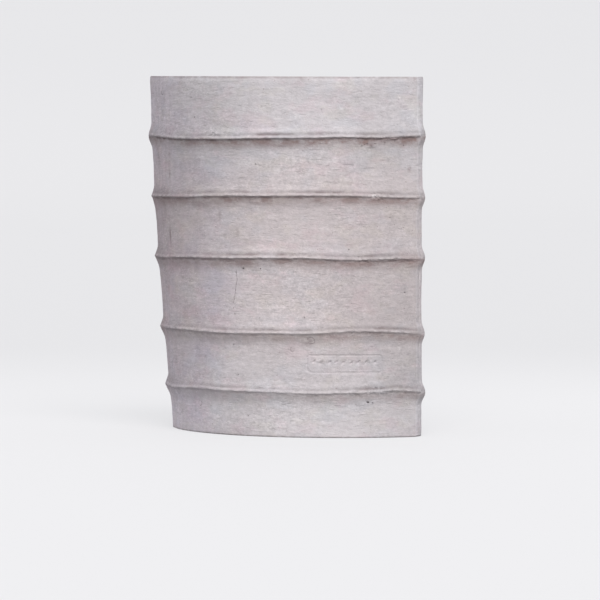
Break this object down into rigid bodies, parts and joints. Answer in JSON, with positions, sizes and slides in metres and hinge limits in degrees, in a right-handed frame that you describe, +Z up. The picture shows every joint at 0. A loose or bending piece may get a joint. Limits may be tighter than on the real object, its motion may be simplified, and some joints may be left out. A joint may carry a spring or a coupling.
{
  "type": "plaster mold",
  "caption": "Plaster piece mould for slip casting a flattened oval vase: ribbed lens-shaped halves parted along the long axis, with a foot plug, a pour ring and natches.",
  "frame": {"origin": "middle of the resting face under the foot plug, on the parting plane", "axes": "+Z up, +X towards the upright end, -X towards the end that leans out, -Y towards the front half, parting plane Y = 0"},
  "size_m": [0.3148, 0.174, 0.36],
  "materials": {
    "plaster": "matte",
    "natch_plastic": "satin"
  },
  "bodies": {
    "base": {"base_plug": "plaster"},
    "front": {"front_half": "plaster", "natch_peg_left_low": "natch_plastic", "natch_peg_right_low": "natch_plastic", "natch_peg_left_mid": "natch_plastic", "natch_peg_right_mid": "natch_plastic", "natch_peg_left_top": "natch_plastic", "natch_peg_right_top": "natch_plastic"},
    "back": {"back_half": "plaster", "natch_cup_left_low": "natch_plastic", "natch_cup_right_low": "natch_plastic", "natch_cup_left_mid": "natch_plastic", "natch_cup_right_mid": "natch_plastic", "natch_cup_left_top": "natch_plastic", "natch_cup_right_top": "natch_plastic"},
    "spare": {"spare_ring": "plaster"}
  },
  "joints": [
    {"name": "front_pull", "type": "slide", "parent": "base", "child": "front", "axis": [0, -1, 0], "range_m": [0, 0.15]},
    {"name": "back_pull", "type": "slide", "parent": "base", "child": "back", "axis": [0, 1, 0], "range_m": [0, 0.15]},
    {"name": "spare_lift", "type": "slide", "parent": "back", "child": "spare", "axis": [0, 0, 1], "range_m": [0, 0.1]}
  ]
}
